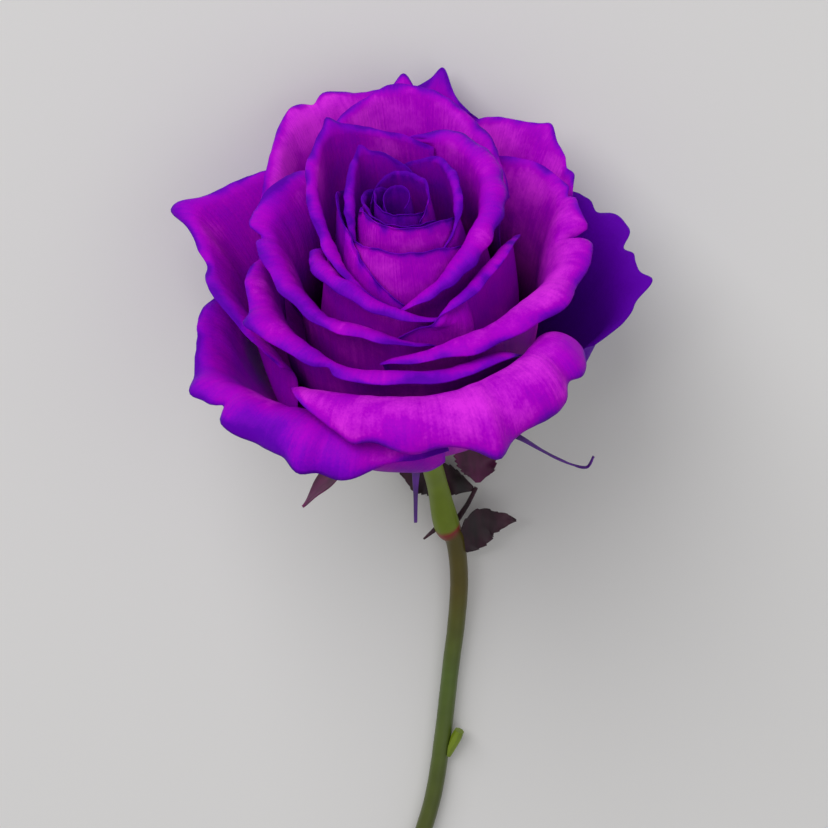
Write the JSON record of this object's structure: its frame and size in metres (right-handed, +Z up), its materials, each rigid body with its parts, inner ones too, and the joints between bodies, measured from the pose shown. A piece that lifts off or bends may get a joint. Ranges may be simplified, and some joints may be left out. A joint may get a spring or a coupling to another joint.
{
  "type": "cut rose",
  "caption": "Single fully open cut rose with a dyed layered bloom, small leaf and bare stem, lying on its side.",
  "frame": {"origin": "middle of the bounding box in plan, at the surface the rose lies on", "axes": "+Z up, +Y along the rose from the cut end of the stem toward the bloom, +X to the right when looking at the open bloom from above with the stem nearest"},
  "size_m": [0.1002, 0.2262, 0.0904],
  "materials": {
    "petal_inner": "matte velvety",
    "petal_outer": "matte velvety",
    "sepal": "matte",
    "leaf": "satin",
    "stem": "satin",
    "styles": "matte"
  },
  "bodies": {
    "root": {"petal_core_1": "petal_inner", "petal_core_2": "petal_inner", "petal_core_3": "petal_inner", "petal_core_4": "petal_inner", "petal_bud_front": "petal_inner", "petal_bud_left": "petal_inner", "petal_bud_right": "petal_inner", "petal_heart_front": "petal_inner", "petal_heart_left": "petal_inner", "petal_cup_left": "petal_inner", "petal_cup_right": "petal_inner", "petal_fold_front": "petal_inner", "petal_fold_right": "petal_inner", "petal_wing_left": "petal_inner", "petal_top_inner": "petal_inner", "petal_front_left": "petal_inner", "petal_wing_right": "petal_inner", "petal_top_left": "petal_outer", "petal_top_right": "petal_outer", "petal_top_point": "petal_outer", "petal_outer_left": "petal_outer", "petal_outer_front": "petal_outer", "petal_outer_lower_left": "petal_outer", "petal_outer_right": "petal_outer", "petal_back_right": "petal_outer", "petal_back_left": "petal_outer", "sepal_front": "sepal", "sepal_right": "sepal", "sepal_left": "sepal", "sepal_back_right": "sepal", "sepal_back_left": "sepal", "leaflet_left": "leaf", "leaflet_middle": "leaf", "leaflet_right": "leaf", "leaf_petiole": "leaf", "stipule_spur": "leaf", "receptacle": "stem", "stem": "stem", "stem_bud": "stem", "styles": "styles"}
  },
  "joints": []
}
